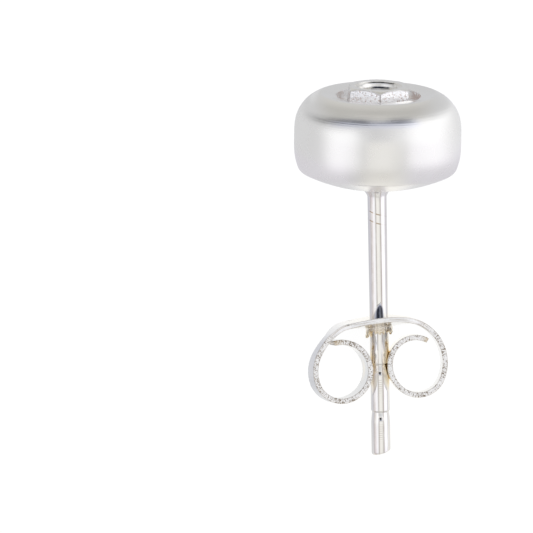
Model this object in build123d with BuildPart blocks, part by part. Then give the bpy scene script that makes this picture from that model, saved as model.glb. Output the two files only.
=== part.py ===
"""Stud earring lying on its side: a small wheel with a hub nut as its head, a straight
post soldered to the wheel's domed back, and a butterfly clutch pushed onto the post.

Millimetres, +Z up. The stud rests on the wheel's side and on the lower edge of the
clutch's plate, so its axis dips towards the post's free end. The wheel's face looks
towards -Y and the post runs towards +Y.
"""

from build123d import *
import os
from collections import namedtuple
from math import acos, asin, atan2, cos, degrees, hypot, pi, radians, sin, sqrt, tan

os.makedirs("parts", exist_ok=True)

# ---------------------------------------------------------------- driving dimensions

# Wheel: r is measured from its axis and z from its widest section, + towards the face
wheel_r = 3.48  # half of the wheel's diameter
side_straight = 0.95  # straight stretch of the side, behind the widest section
side_arc_r = 2.11  # the side then curves in to the back corner
back_corner_r = 3.27
dome_h = 0.78  # how far the back bulges between its corner and the post
back_edge_r = 0.12  # rounding of the back corner
shoulder_run = 1.55  # half width and half height of the shoulder's ellipse
shoulder_rise = 1.48
shoulder_end_r = 2.50  # there it rounds over a crest
face_dish = 10.1  # and the face falls this steeply to the hub
recess_r = 1.77  # hub recess
recess_rim_z = 1.30
recess_floor_z = 0.98

# Hub nut and the round axle end in its bore
nut_across_flats = 2.50
nut_top_z = 1.715
nut_turn = 32.8  # a corner stands 2.8 degrees off the top
nut_chamfer_angle = 32  # only the six corners lose their top edge
nut_bore_r = 0.96
nut_bore_depth = 0.415
axle_r = 0.86
axle_top_z = 1.65
axle_bevel = 0.03
dish_r = 0.80  # the axle's end is dished, with steep walls
dish_floor_r = 0.74
dish_floor_z = 1.47

# Post
post_r = 0.40
post_length = 11.46  # from the back's top to the longest side of its cut end
post_off_square = 1.85  # the post leans this much, sideways, from the wheel's axis
post_end_slope = 17.3  # the end was clipped at a slant
post_end_round = 0.13
solder_r = 0.66  # solder fillet at the post's root
solder_h = 0.30
groove_width = 0.56
groove_step = 0.06  # steep on the head side, then a long shallow run-out
groove_depth = 0.045
groove_at = (7.43, 9.47)  # head-side edge of each friction groove, from the root

# Clutch
clutch_at = 5.60  # middle of the plate's hole, from the post's root
strip_t = 0.21
plate_w = 3.70  # across the post; its straight edges are this far apart
plate_l = 3.87
plate_corner_r = 1.00  # leaves the plate's ends as wide as the arms
plate_off = -0.12
plate_straddle = 0.011  # the strip's middle at the post, towards the head
arm_w = plate_w - 2 * plate_corner_r
strip_heading = 6.7  # degrees, the strip's slope where the post goes through
strip_lean = (0.072, -0.025)  # sideways and endways lean for each mm of width
passage_r = 0.43  # hole and grip between the scrolls, round the post
collar_r = 0.56  # torn collar of the pierced hole

# The strip's middle line each way from the post: arcs, each tangent to the one before
Bend = namedtuple("Bend", "radius turn")
right_bends = [
    Bend(radius=4.49, turn=14.8),  # plate
    Bend(radius=1.825, turn=103.9),  # round the outside of the scroll
    Bend(radius=1.075, turn=102.0),  # bottom
    Bend(radius=1.295, turn=81.5),  # up beside the post
    Bend(radius=1.05, turn=94.5),  # over the top to the free end
]
left_bends = [
    Bend(radius=13.1, turn=6.2),  # plate, nearly flat up to a knee
    Bend(radius=0.94, turn=29.7),
    Bend(radius=3.74, turn=18.1),
    Bend(radius=1.58, turn=46.7),
    Bend(radius=1.065, turn=90.5),
    Bend(radius=1.273, turn=91.6),
    Bend(radius=1.176, turn=86.3),
]
right_plate = [right_bends[0], Bend(radius=1.825, turn=30.0)]
left_plate = left_bends[:2] + [Bend(radius=3.74, turn=12.0)]

# Petals of the torn collar: where round the post (0 is to the right, 90 is down),
# how wide, and how far each stands out behind the plate
Petal = namedtuple("Petal", "angle span length")
petals = [
    Petal(angle=5, span=72, length=0.46),
    Petal(angle=95, span=66, length=0.56),
    Petal(angle=183, span=70, length=0.68),
    Petal(angle=268, span=58, length=0.34),
]

# ---------------------------------------------------------------- crest of the wheel's face

# An arc tangent to the shoulder's ellipse and to the dished face
shoulder_centre_r = wheel_r - shoulder_run
shoulder_end_angle = acos((shoulder_end_r - shoulder_centre_r) / shoulder_run)
shoulder_end_z = shoulder_rise * sin(shoulder_end_angle)
fall_out = atan2(shoulder_rise * cos(shoulder_end_angle), shoulder_run * sin(shoulder_end_angle))
fall_in = radians(face_dish)
crest_arc_r = (
    recess_rim_z + tan(fall_in) * (shoulder_end_r - recess_r) - shoulder_end_z
) / (cos(fall_in) - cos(fall_out) + tan(fall_in) * (sin(fall_out) + sin(fall_in)))
crest_r = shoulder_end_r - crest_arc_r * sin(fall_out)
crest_z = shoulder_end_z + crest_arc_r * (1 - cos(fall_out))
crest_in_r = crest_r - crest_arc_r * sin(fall_in)
crest_in_z = crest_z - crest_arc_r * (1 - cos(fall_in))

# ---------------------------------------------------------------- how it rests

apex_z = -side_straight - sqrt(side_arc_r**2 - (back_corner_r - wheel_r + side_arc_r) ** 2)
back_corner_z = apex_z
apex_z -= dome_h

# The axis dips by this angle, so that the side's arc and the plate's lower edge both
# touch the floor: A cos(tilt) - B sin(tilt) = C
rest_a = wheel_r - side_arc_r
rest_b = clutch_at - apex_z - side_straight
rest_c = plate_w / 2 - side_arc_r
tilt = acos(rest_c / hypot(rest_a, rest_b)) - atan2(rest_b, rest_a)
widest_height = side_arc_r + rest_a * cos(tilt) + side_straight * sin(tilt)

off = radians(post_off_square)
face_dir = Vector(-sin(off) * cos(tilt), -cos(off) * cos(tilt), sin(tilt))
head_dir = Vector(0, -cos(tilt), sin(tilt))  # along the post, towards the head
tail_dir = head_dir * -1


def outline():
    """Points (r, z) of the wheel's outer profile, for its overall size."""
    arc = [
        (wheel_r - side_arc_r * (1 - cos(a)), -side_straight - side_arc_r * sin(a))
        for a in (i * asin((-side_straight - back_corner_z) / side_arc_r) / 40 for i in range(41))
    ]
    shoulder = [
        (wheel_r - shoulder_run * (1 - cos(a)), shoulder_rise * sin(a))
        for a in (i * shoulder_end_angle / 80 for i in range(81))
    ]
    crest = [
        (crest_r + crest_arc_r * sin(a), crest_z - crest_arc_r * (1 - cos(a)))
        for a in (i * fall_out / 40 for i in range(41))
    ]
    nut = [(nut_across_flats / 2 - 0.02, nut_top_z)]
    return arc + shoulder + crest + nut + [(0, apex_z)]


def reach(direction):
    """How far the wheel reaches from its centre in a direction."""
    along = direction.dot(face_dir)
    return max(z * along + r * sqrt(1 - along * along) for r, z in outline())


x_low, x_high = reach(Vector(-1, 0, 0)), reach(Vector(1, 0, 0))
y_low = reach(Vector(0, -1, 0))
end_slope = radians(post_end_slope)
y_high = -apex_z * cos(off) * cos(tilt) + (post_length - 0.15) * cos(tilt) + 0.1232
widest = Vector((x_low - x_high) / 2, (y_low - y_high) / 2, widest_height)
root = widest + face_dir * apex_z
hole = root + tail_dir * clutch_at

# ---------------------------------------------------------------- planes

# Local x is to the right as seen from above with the head at the top
wheel_x = Vector(-cos(off), sin(off), 0)
wheel_plane = Plane(origin=widest, x_dir=wheel_x, z_dir=face_dir)
wheel_section = Plane(origin=widest, x_dir=wheel_x, z_dir=wheel_x.cross(face_dir))
post_plane = Plane(origin=root, x_dir=(-1, 0, 0), z_dir=tail_dir)
post_section = Plane(origin=root, x_dir=(-1, 0, 0), z_dir=Vector(-1, 0, 0).cross(tail_dir))
collar_plane = Plane(origin=hole + tail_dir * 0.03, x_dir=(-1, 0, 0), z_dir=tail_dir)
passage_plane = Plane(origin=hole + head_dir * 1.0, x_dir=(-1, 0, 0), z_dir=tail_dir)
side_plane = Plane(origin=(hole.X, hole.Y, plate_w / 2), x_dir=(-1, 0, 0), z_dir=(0, 1, 0))


def strip_plane(height):
    """The horizontal plane where a leaning strip starts, so that it is in place at
    the plate's middle height."""
    below = height - plate_w / 2
    return Plane(
        origin=(hole.X - strip_lean[0] * below, hole.Y - strip_lean[1] * below, height),
        x_dir=(-1, 0, 0),
        z_dir=(0, 0, 1),
    )


def strip_outline(bends, heading, turn):
    """Draws the closed outline of a strip of even thickness whose middle line starts at
    the post and follows tangent arcs, to the left (turn 1) or to the right (turn -1)."""
    x, y = 0.0, plate_straddle
    outer, inner = [], []
    for bend in bends:
        cx = x - sin(heading) * turn * bend.radius
        cy = y + cos(heading) * turn * bend.radius
        start = atan2(y - cy, x - cx)
        swept = turn * radians(bend.turn)
        for side, r in (
            (outer, bend.radius + strip_t / 2),
            (inner, bend.radius - strip_t / 2),
        ):
            side.append(
                [
                    (cx + r * cos(start + swept * f), cy + r * sin(start + swept * f))
                    for f in (0, 0.5, 1)
                ]
            )
        x, y = cx + bend.radius * cos(start + swept), cy + bend.radius * sin(start + swept)
        heading += swept
    for a, b, c in outer:
        ThreePointArc(a, b, c)
    Line(outer[-1][2], inner[-1][2])
    for a, b, c in reversed(inner):
        ThreePointArc(c, b, a)
    Line(inner[0][0], outer[0][0])


# ---------------------------------------------------------------- hub nut

with BuildPart() as hub_nut:
    with BuildSketch(wheel_plane.offset(recess_floor_z - 0.2)):
        RegularPolygon(nut_across_flats / 2, 6, major_radius=False, rotation=nut_turn)
    extrude(amount=nut_top_z - recess_floor_z + 0.2)
    # A cone through the middle of each top edge takes the corners off
    with BuildSketch(wheel_section):
        with BuildLine():
            Polyline(
                (0, recess_floor_z - 0.3),
                (2.0, recess_floor_z - 0.3),
                (2.0, nut_top_z - (2.0 - nut_across_flats / 2 + 0.02) * sin(radians(nut_chamfer_angle)) / cos(radians(nut_chamfer_angle))),
                (nut_across_flats / 2 - 0.02, nut_top_z),
                (0, nut_top_z),
                close=True,
            )
        make_face()
    revolve(axis=Axis(widest, face_dir), mode=Mode.INTERSECT)
    # Bore with the dished axle end standing in it, a little below the nut's top
    with BuildSketch(wheel_section):
        with BuildLine():
            Polyline(
                (0, dish_floor_z),
                (dish_floor_r, dish_floor_z),
                (dish_r, axle_top_z),
                (axle_r - axle_bevel, axle_top_z),
                (axle_r, axle_top_z - axle_bevel),
                (axle_r, nut_top_z - nut_bore_depth),
                (nut_bore_r, nut_top_z - nut_bore_depth),
                (nut_bore_r, nut_top_z + 0.1),
                (0, nut_top_z + 0.1),
                close=True,
            )
        make_face()
    revolve(axis=Axis(widest, face_dir), mode=Mode.SUBTRACT)

# ---------------------------------------------------------------- post

with BuildPart() as ear_post:
    with BuildSketch(post_plane.offset(-1.2)):
        Circle(post_r)
    extrude(amount=post_length + 1.2)
    # The clipped end: its left side is the longest
    slope_plane = Plane(
        origin=root + tail_dir * post_length + Vector(post_r, 0, 0),
        x_dir=head_dir * sin(end_slope) + Vector(-cos(end_slope), 0, 0),
        z_dir=tail_dir * cos(end_slope) + Vector(-sin(end_slope), 0, 0),
    )
    split(bisect_by=slope_plane, keep=Keep.BOTTOM)
    fillet(ear_post.faces().sort_by(Axis(root, tail_dir))[-1].edges(), radius=post_end_round)
    # Friction grooves
    for start in groove_at:
        with BuildSketch(post_section):
            with BuildLine():
                Line((post_r + 0.2, start), (post_r, start))
                Line((post_r, start), (post_r - groove_depth, start + groove_step))
                ThreePointArc(
                    (post_r - groove_depth, start + groove_step),
                    (post_r - groove_depth * 0.72, start + (groove_step + groove_width) / 2),
                    (post_r, start + groove_width),
                )
                Line((post_r, start + groove_width), (post_r + 0.2, start + groove_width))
                Line((post_r + 0.2, start + groove_width), (post_r + 0.2, start))
            make_face()
        revolve(axis=Axis(root, tail_dir), mode=Mode.SUBTRACT)
    # Solder fillet
    with BuildSketch(post_section):
        with BuildLine():
            Line((0, solder_h), (post_r, solder_h))
            ThreePointArc((post_r, solder_h), (post_r + 0.075, solder_h - 0.205), (solder_r, -0.035))
            Line((solder_r, -0.035), (solder_r, -0.5))
            Line((solder_r, -0.5), (0, -0.5))
            Line((0, -0.5), (0, solder_h))
        make_face()
    revolve(axis=Axis(root, tail_dir))

# ---------------------------------------------------------------- stud: wheel, nut and post

crest_mid = (fall_out - fall_in) / 2
side_end = asin((-side_straight - back_corner_z) / side_arc_r)
dome_r = (back_corner_r**2 + dome_h**2) / (2 * dome_h)
dome_mid = asin(back_corner_r / dome_r) / 2

with BuildPart() as stud:
    with BuildSketch(wheel_section):
        with BuildLine():
            Line((0, apex_z), (0, recess_floor_z))
            Line((0, recess_floor_z), (recess_r, recess_floor_z))
            Line((recess_r, recess_floor_z), (recess_r, recess_rim_z))
            Line((recess_r, recess_rim_z), (crest_in_r, crest_in_z))
            ThreePointArc(
                (crest_in_r, crest_in_z),
                (
                    crest_r + crest_arc_r * sin(crest_mid),
                    crest_z - crest_arc_r * (1 - cos(crest_mid)),
                ),
                (shoulder_end_r, shoulder_end_z),
            )
            EllipticalCenterArc(
                (shoulder_centre_r, 0),
                shoulder_run,
                shoulder_rise,
                start_angle=0,
                arc_size=degrees(shoulder_end_angle),
            )
            Line((wheel_r, 0), (wheel_r, -side_straight))
            ThreePointArc(
                (wheel_r, -side_straight),
                (
                    wheel_r - side_arc_r * (1 - cos(side_end / 2)),
                    -side_straight - side_arc_r * sin(side_end / 2),
                ),
                (back_corner_r, back_corner_z),
            )
            ThreePointArc(
                (back_corner_r, back_corner_z),
                (dome_r * sin(dome_mid), apex_z + dome_r * (1 - cos(dome_mid))),
                (0, apex_z),
            )
        make_face()
    revolve(axis=Axis(widest, face_dir))
    back_corner = stud.edges().filter_by(GeomType.CIRCLE).filter_by(
        lambda e: abs(e.radius - back_corner_r) < 0.001
    )
    fillet(back_corner, radius=back_edge_r)
    add(hub_nut.part)
    add(ear_post.part)

# ---------------------------------------------------------------- clutch

lean_dir = Vector(-strip_lean[0], -strip_lean[1], 1)

with BuildPart() as clutch:
    # Plate: the strip at full width, trimmed to the plate's rounded outline
    with BuildSketch(strip_plane(0)):
        for bends, heading, turn in (
            (right_plate, radians(strip_heading), -1),
            (left_plate, radians(strip_heading) + pi, 1),
        ):
            with BuildLine():
                strip_outline(bends, heading, turn)
            make_face()
    extrude(amount=plate_w * lean_dir.length, dir=lean_dir)
    with BuildSketch(side_plane.offset(-2)):
        with Locations((plate_off, 0)):
            RectangleRounded(plate_l, plate_w, plate_corner_r - 0.001)
    extrude(amount=4, mode=Mode.INTERSECT)
    # Arms rolled into scrolls, narrower than the plate
    with BuildSketch(strip_plane((plate_w - arm_w) / 2)):
        for bends, heading, turn in (
            (right_bends, radians(strip_heading), -1),
            (left_bends, radians(strip_heading) + pi, 1),
        ):
            with BuildLine():
                strip_outline(bends, heading, turn)
            make_face()
    extrude(amount=arm_w * lean_dir.length, dir=lean_dir)
    # Collar that the piercing punch tore open, in uneven petals
    for petal in petals:
        half = radians(petal.span / 2)
        mid = radians(petal.angle)
        with BuildSketch(collar_plane):
            with BuildLine():
                inner = [
                    ((passage_r - 0.03) * cos(mid + a), (passage_r - 0.03) * sin(mid + a))
                    for a in (-half, 0, half)
                ]
                outer = [
                    (collar_r * cos(mid + a), collar_r * sin(mid + a)) for a in (-half, 0, half)
                ]
                ThreePointArc(*inner)
                Line(inner[2], outer[2])
                ThreePointArc(*reversed(outer))
                Line(outer[0], inner[0])
            make_face()
        extrude(amount=petal.length)
    # One straight passage for the post: the hole, and the dent in each scroll
    with BuildSketch(passage_plane):
        Circle(passage_r)
    extrude(amount=5.2, mode=Mode.SUBTRACT)

# ---------------------------------------------------------------- write the pieces

stud.part.label = "stud"
clutch.part.label = "clutch"
export_step(stud.part, "parts/stud.step")
export_step(clutch.part, "parts/clutch.step")

print("tilt", round(tilt, 9), "apex_z", round(apex_z, 6), "widest", widest, "root", root, "hole", hole)
for name, part in (("stud", stud.part), ("clutch", clutch.part)):
    box = part.bounding_box()
    print(name, "solids", len(part.solids()), "volume", round(part.volume, 3), "box", box.min, box.max)
both = [stud.part.bounding_box(), clutch.part.bounding_box()]
print("x", min(b.min.X for b in both), max(b.max.X for b in both))
print("y", min(b.min.Y for b in both), max(b.max.Y for b in both))
print("z", min(b.min.Z for b in both), max(b.max.Z for b in both))
print("hole centre", hole, "root", root, "widest", widest)
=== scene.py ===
"""Looks of the wheel-shaped stud earring: polished silver lying on a pale surface.

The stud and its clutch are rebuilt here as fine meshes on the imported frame, in the
same place and at the same size. Lengths below are in millimetres until a mesh is made.
"""

from math import acos, asin, atan2, cos, degrees, pi, radians, sin, sqrt, tan

import bpy
import numpy as np
from mathutils import Matrix, Vector, noise


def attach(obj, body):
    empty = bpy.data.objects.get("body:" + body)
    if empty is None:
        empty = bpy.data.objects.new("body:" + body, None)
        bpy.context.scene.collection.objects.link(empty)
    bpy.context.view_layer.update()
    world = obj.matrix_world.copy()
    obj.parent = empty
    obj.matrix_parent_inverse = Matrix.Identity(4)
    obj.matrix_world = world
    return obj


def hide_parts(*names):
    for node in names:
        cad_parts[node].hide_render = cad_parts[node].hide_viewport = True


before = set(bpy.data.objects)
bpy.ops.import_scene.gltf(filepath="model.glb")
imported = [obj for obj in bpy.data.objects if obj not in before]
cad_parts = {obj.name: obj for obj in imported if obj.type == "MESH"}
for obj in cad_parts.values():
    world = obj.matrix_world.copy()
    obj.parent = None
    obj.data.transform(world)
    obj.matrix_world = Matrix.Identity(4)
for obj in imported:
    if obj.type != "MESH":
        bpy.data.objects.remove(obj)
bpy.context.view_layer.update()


MM = 0.001

# ---------------------------------------------------------------- the frame, as modelled

TILT = 0.220594812  # the axis dips towards the post's free end
OFF = radians(1.85)  # the post leans this much, sideways, from the wheel's axis
WIDEST = np.array([-0.015133, -5.898400, 3.654670])
ROOT = np.array([0.068270, -3.316250, 3.075340])
HOLE = np.array([0.068270, 2.148050, 1.850000])

FACE = np.array([-sin(OFF) * cos(TILT), -cos(OFF) * cos(TILT), sin(TILT)])
WHEEL_X = np.array([-cos(OFF), sin(OFF), 0.0])
WHEEL_Y = np.cross(FACE, WHEEL_X)
TAIL = np.array([0.0, cos(TILT), -sin(TILT)])
RIGHT = np.array([-1.0, 0.0, 0.0])
POST_Y = np.cross(-TAIL, RIGHT)
POST_UP = np.array([0.0, sin(TILT), cos(TILT)])

# Wheel: r from its axis, z from its widest section, + towards the face
WHEEL_R = 3.48
SIDE_STRAIGHT = 0.95
SIDE_ARC_R = 2.11
BACK_CORNER_R = 3.27
DOME_H = 0.78
BACK_CORNER_Z = -SIDE_STRAIGHT - sqrt(SIDE_ARC_R**2 - (BACK_CORNER_R - WHEEL_R + SIDE_ARC_R) ** 2)
APEX_Z = BACK_CORNER_Z - DOME_H
SHOULDER_RUN = 1.55
SHOULDER_RISE = 1.48
SHOULDER_CENTRE_R = WHEEL_R - SHOULDER_RUN
SHOULDER_END_R = 2.50
FACE_DISH = radians(10.1)
RECESS_R = 1.77
RIM_Z = 1.30
FLOOR_Z = 0.98

# Hub nut and the axle end in its bore
NUT_APOTHEM = 1.25
NUT_TOP_Z = 1.715
NUT_TURN = 32.8
NUT_CHAMFER = tan(radians(32))
NUT_CORNER_ROUND = 0.05
BORE_R = 0.96
BORE_FLOOR_Z = 1.30
AXLE_R = 0.86
AXLE_TOP_Z = 1.65
DISH_R = 0.80
DISH_FLOOR_R = 0.74
DISH_FLOOR_Z = 1.47

# Post
POST_R = 0.40
POST_LENGTH = 11.46
END_SLOPE = tan(radians(17.3))
GROOVE_AT = (7.43, 9.47)
GROOVE_WIDTH = 0.56
GROOVE_STEP = 0.06
GROOVE_DEPTH = 0.045
PIT_AT = (7.83, 9.80)  # a pinprick in the run-out of each groove

# Clutch
STRIP_T = 0.21
PLATE_W = 3.70
PLATE_MID = 1.85
PLATE_L = 3.87
PLATE_OFF = -0.12
PLATE_CORNER = 1.00
ARM_W = 1.70
HEADING = radians(6.7)
STRADDLE = 0.011
RIGHT_BENDS = ((4.49, 14.8), (1.825, 103.9), (1.075, 102.0), (1.295, 81.5), (1.05, 94.5))
LEFT_BENDS = (
    (13.1, 6.2), (0.94, 29.7), (3.74, 18.1), (1.58, 46.7), (1.065, 90.5), (1.273, 91.6), (1.176, 86.3)
)
PASSAGE_R = 0.43

# ---------------------------------------------------------------- small helpers


def smooth(a, b, x):
    t = np.clip((np.asarray(x, float) - a) / (b - a), 0, 1)
    return t * t * (3 - 2 * t)


def fbm(points, scale, octaves=3, seed=0.0):
    """Fractal noise about zero at each point, with features of about 1/scale millimetres."""
    out = np.empty(len(points))
    for i, p in enumerate(points):
        v = Vector((p[0] * scale + seed, p[1] * scale - seed * 1.7, p[2] * scale + seed * 0.6))
        out[i] = noise.fractal(v, 0.8, 2.0, octaves)
    return out


def gauss(curve, sigma):
    """A curve, one row for each step, with its columns blurred over sigma steps."""
    n = int(3 * sigma) + 1
    kernel = np.exp(-0.5 * (np.arange(-n, n + 1) / sigma) ** 2)
    kernel /= kernel.sum()
    padded = np.vstack([2 * curve[0] - curve[n:0:-1], curve, 2 * curve[-1] - curve[-2 : -n - 2 : -1]])
    return np.stack([np.convolve(padded[:, k], kernel, "valid") for k in range(curve.shape[1])], 1)


def grid_faces(rows, segments):
    """Quads between consecutive rings of vertices, numbered ring by ring."""
    faces = []
    for i in range(rows - 1):
        a, b = i * segments, (i + 1) * segments
        for j in range(segments):
            k = (j + 1) % segments
            faces.append((a + j, a + k, b + k, b + j))
    return faces


def make_object(name, verts_mm, faces, materials, face_slots, attributes):
    mesh = bpy.data.meshes.new(name)
    mesh.from_pydata([tuple(float(c) * MM for c in v) for v in verts_mm], [], faces)
    for m in materials:
        mesh.materials.append(m)
    mesh.polygons.foreach_set("material_index", np.asarray(face_slots, np.int32))
    mesh.polygons.foreach_set("use_smooth", np.ones(len(faces), bool))
    for key, values in attributes.items():
        layer = mesh.attributes.new(key, "FLOAT", "POINT")
        layer.data.foreach_set("value", np.asarray(values, np.float32))
    mesh.update()
    obj = bpy.data.objects.new(name, mesh)
    bpy.context.scene.collection.objects.link(obj)
    return obj


# ---------------------------------------------------------------- shader expressions


class Sock:
    """A shader value with arithmetic, so that formulas below read as formulas."""

    def __init__(self, tree, out):
        self.tree, self.out = tree, out

    def op(self, name, *others):
        node = self.tree.nodes.new("ShaderNodeMath")
        node.operation = name
        for slot, value in zip(node.inputs, (self, *others)):
            if isinstance(value, Sock):
                self.tree.links.new(value.out, slot)
            else:
                slot.default_value = float(value)
        return Sock(self.tree, node.outputs[0])

    def __add__(self, other):
        return self.op("ADD", other)

    __radd__ = __add__

    def __sub__(self, other):
        return self.op("SUBTRACT", other)

    def __rsub__(self, other):
        return (self * -1.0) + other

    def __mul__(self, other):
        return self.op("MULTIPLY", other)

    __rmul__ = __mul__

    def __truediv__(self, other):
        return self.op("DIVIDE", other)

    def ramp(self, a, b):
        """0 before a, 1 after b, smooth between; b may be below a."""
        node = self.tree.nodes.new("ShaderNodeMapRange")
        node.interpolation_type = "SMOOTHSTEP"
        node.clamp = True
        self.tree.links.new(self.out, node.inputs["Value"])
        low, high, first, last = (a, b, 0.0, 1.0) if a < b else (b, a, 1.0, 0.0)
        node.inputs["From Min"].default_value, node.inputs["From Max"].default_value = low, high
        node.inputs["To Min"].default_value, node.inputs["To Max"].default_value = first, last
        return Sock(self.tree, node.outputs["Result"])

    def window(self, middle, half, before, after):
        """1 within half of the middle, falling to 0 over a width before and after it."""
        return self.ramp(middle - half - before, middle - half) * self.ramp(
            middle + half + after, middle + half
        )


def mix_colour(tree, share, a, b):
    """A colour between a and b; each is a Sock or three numbers."""
    node = tree.nodes.new("ShaderNodeMix")
    node.data_type = "RGBA"
    node.clamp_factor = True
    tree.links.new(share.out, node.inputs["Factor"])
    for slot, value in ((node.inputs[6], a), (node.inputs[7], b)):
        if isinstance(value, Sock):
            tree.links.new(value.out, slot)
        else:
            slot.default_value = (*value, 1.0)
    return Sock(tree, node.outputs[2])


def split_vector(tree, out):
    node = tree.nodes.new("ShaderNodeSeparateXYZ")
    tree.links.new(out, node.inputs[0])
    return [Sock(tree, node.outputs[i]) for i in range(3)]


# ---------------------------------------------------------------- surroundings


def studio_light(tree, x, y, z):
    """What silver sees in a direction: a white studio with soft panels to the left and
    right, a grey ceiling, a dark gap over the backdrop and a beige wall below it.
    Returns a colour and a strength. u and v are degrees from the zenith, u towards -X
    and v towards +Y."""
    zenith = z.op("MINIMUM", 0.99999).op("MAXIMUM", -0.99999).op("ARCCOSINE") * (180 / pi)
    flat = (x * x + y * y).op("SQRT").op("MAXIMUM", 1e-5)
    u = x * -1.0 / flat * zenith
    v = y / flat * zenith

    light = 0.69 + u.window(-49, 12, 32, 19) * v.window(6, 9, 26, 47) * 0.40
    light = light + u.window(69, 15, 22, 36) * v.window(-10, 29, 24, 26) * 0.33
    light = light + u.window(25, 13, 37, 25) * v.window(0, 15, 39, 19) * 0.15
    light = light + u.window(103, 26, 43, 35) * v.window(-14, 30, 24, 44) * 0.12
    light = light - u.window(2, 4, 17, 29) * v.window(-1, 14, 17, 14) * 0.14
    light = light - u.window(-3, 41, 47, 46) * v.window(-73, 12, 14, 43) * 0.12
    light = light - u.window(-7, 90, 35, 41) * v.window(-111, 36, 57, 46) * 0.07
    light = light + u.window(4, 22, 34, 36) * v.window(138, 24, 26, 30) * 0.20
    light = light - u.window(-31, 8, 14, 14) * v.window(46, 12, 26, 16) * 0.09
    light = light + u.window(0, 10, 22, 20) * v.window(26, 4, 9, 12) * 0.18
    light = light + u.window(4, 16, 26, 26) * v.window(96, 24, 26, 30) * 0.13
    light = light + u.window(-98, 4, 14, 18) * v.window(-84, 4, 14, 10) * 0.10
    light = light + u.window(-5, 18, 26, 26) * v.window(-62.5, 0.8, 2, 2) * 0.35
    gap = u.window(-43, 23, 46, 16) * v.window(-44, 5, 6, 7.5) * 0.80
    gap = gap + u.window(29, 8, 12, 20) * v.window(-46, 4.5, 5, 7) * 0.80
    gap = gap + u.window(0, 8, 20, 16) * v.window(-39, 2.5, 5, 5) * 0.55
    light = light * (1.0 - gap)
    # Frames of the two panels, which only narrow curves pick out
    frames = (u.window(-20, 1.2, 2.5, 2.5) + u.window(37, 1.2, 2.5, 2.5)) * v.window(24, 4, 5, 5)
    light = light * (1.0 - frames * 0.20)

    halo = u.window(-2, 42, 34, 26) * v.window(-36, 7, 8, 9)
    colour = mix_colour(tree, halo, (0.985, 0.998, 1.03), (0.88, 0.945, 1.27))
    colour = mix_colour(tree, gap * u.ramp(-70, -36), colour, (0.55, 0.85, 1.75))
    warm = u.window(-3, 41, 47, 46) * v.window(-80, 20, 14, 60) * 0.75
    warm = warm + u.window(4, 12, 34, 36) * v.window(110, 60, 42, 30) * 0.85
    warm = warm + u.window(12, 24, 5, 5) * v.window(24, 5, 3, 3) * 0.4
    colour = mix_colour(tree, warm, colour, (1.015, 1.0, 0.955))
    lilac = v.window(52, 22, 14, 60) * (u.ramp(-24, -50) + u.ramp(30, 56)) * 0.8
    colour = mix_colour(tree, lilac, colour, (1.0, 0.985, 1.075))
    return colour, light


world = bpy.data.worlds.new("studio")
bpy.context.scene.world = world
world.use_nodes = True
tree = world.node_tree
tree.nodes.clear()
coord = tree.nodes.new("ShaderNodeTexCoord")
colour, light = studio_light(tree, *split_vector(tree, coord.outputs["Generated"]))
studio = tree.nodes.new("ShaderNodeBackground")
tree.links.new(colour.out, studio.inputs["Color"])
tree.links.new(light.out, studio.inputs["Strength"])
backdrop = tree.nodes.new("ShaderNodeBackground")
backdrop.inputs["Color"].default_value = (1.0, 1.0, 1.0, 1.0)
backdrop.inputs["Strength"].default_value = 1.02
path = tree.nodes.new("ShaderNodeLightPath")
choose = tree.nodes.new("ShaderNodeMixShader")
tree.links.new(path.outputs["Is Camera Ray"], choose.inputs["Fac"])
tree.links.new(studio.outputs[0], choose.inputs[1])
tree.links.new(backdrop.outputs[0], choose.inputs[2])
out = tree.nodes.new("ShaderNodeOutputWorld")
tree.links.new(choose.outputs[0], out.inputs["Surface"])

scene = bpy.context.scene
scene.view_settings.view_transform = "Standard"
scene.view_settings.look = "None"
# Silver facing silver passes light on many times, and turns golden as it does
scene.cycles.max_bounces = 16
scene.cycles.glossy_bounces = 12

# ---------------------------------------------------------------- materials

SILVER = (0.955, 0.935, 0.900)


def new_material(name, metallic=1.0):
    m = bpy.data.materials.new(name)
    m.use_nodes = True
    tree = m.node_tree
    shader = tree.nodes["Principled BSDF"]
    shader.inputs["Metallic"].default_value = metallic
    return m, tree, shader


def object_position(tree):
    coord = tree.nodes.new("ShaderNodeTexCoord")
    return Sock(tree, coord.outputs["Object"])


def noise_node(tree, position, scale, detail=3.0, rough=0.55, stretch=None):
    node = tree.nodes.new("ShaderNodeTexNoise")
    node.inputs["Scale"].default_value = scale
    node.inputs["Detail"].default_value = detail
    node.inputs["Roughness"].default_value = rough
    source = position.out
    if stretch:
        scaled = tree.nodes.new("ShaderNodeMapping")
        scaled.inputs["Scale"].default_value = stretch
        tree.links.new(source, scaled.inputs["Vector"])
        source = scaled.outputs[0]
    tree.links.new(source, node.inputs["Vector"])
    return Sock(tree, node.outputs["Fac"])


def attribute(tree, name):
    node = tree.nodes.new("ShaderNodeAttribute")
    node.attribute_name = name
    return Sock(tree, node.outputs["Fac"])


def combine(tree, x, y, z):
    node = tree.nodes.new("ShaderNodeCombineXYZ")
    for slot, value in zip(node.inputs, (x, y, z)):
        if isinstance(value, Sock):
            tree.links.new(value.out, slot)
        else:
            slot.default_value = value
    return Sock(tree, node.outputs[0])


def bump(tree, shader, height, distance_mm, strength=1.0):
    node = tree.nodes.new("ShaderNodeBump")
    node.inputs["Distance"].default_value = distance_mm * MM
    node.inputs["Strength"].default_value = strength
    tree.links.new(height.out, node.inputs["Height"])
    tree.links.new(node.outputs[0], shader.inputs["Normal"])


def colour_and_rough(tree, shader, colour, rough):
    tree.links.new(colour.out, shader.inputs["Base Color"])
    tree.links.new(rough.out, shader.inputs["Roughness"])


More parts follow.
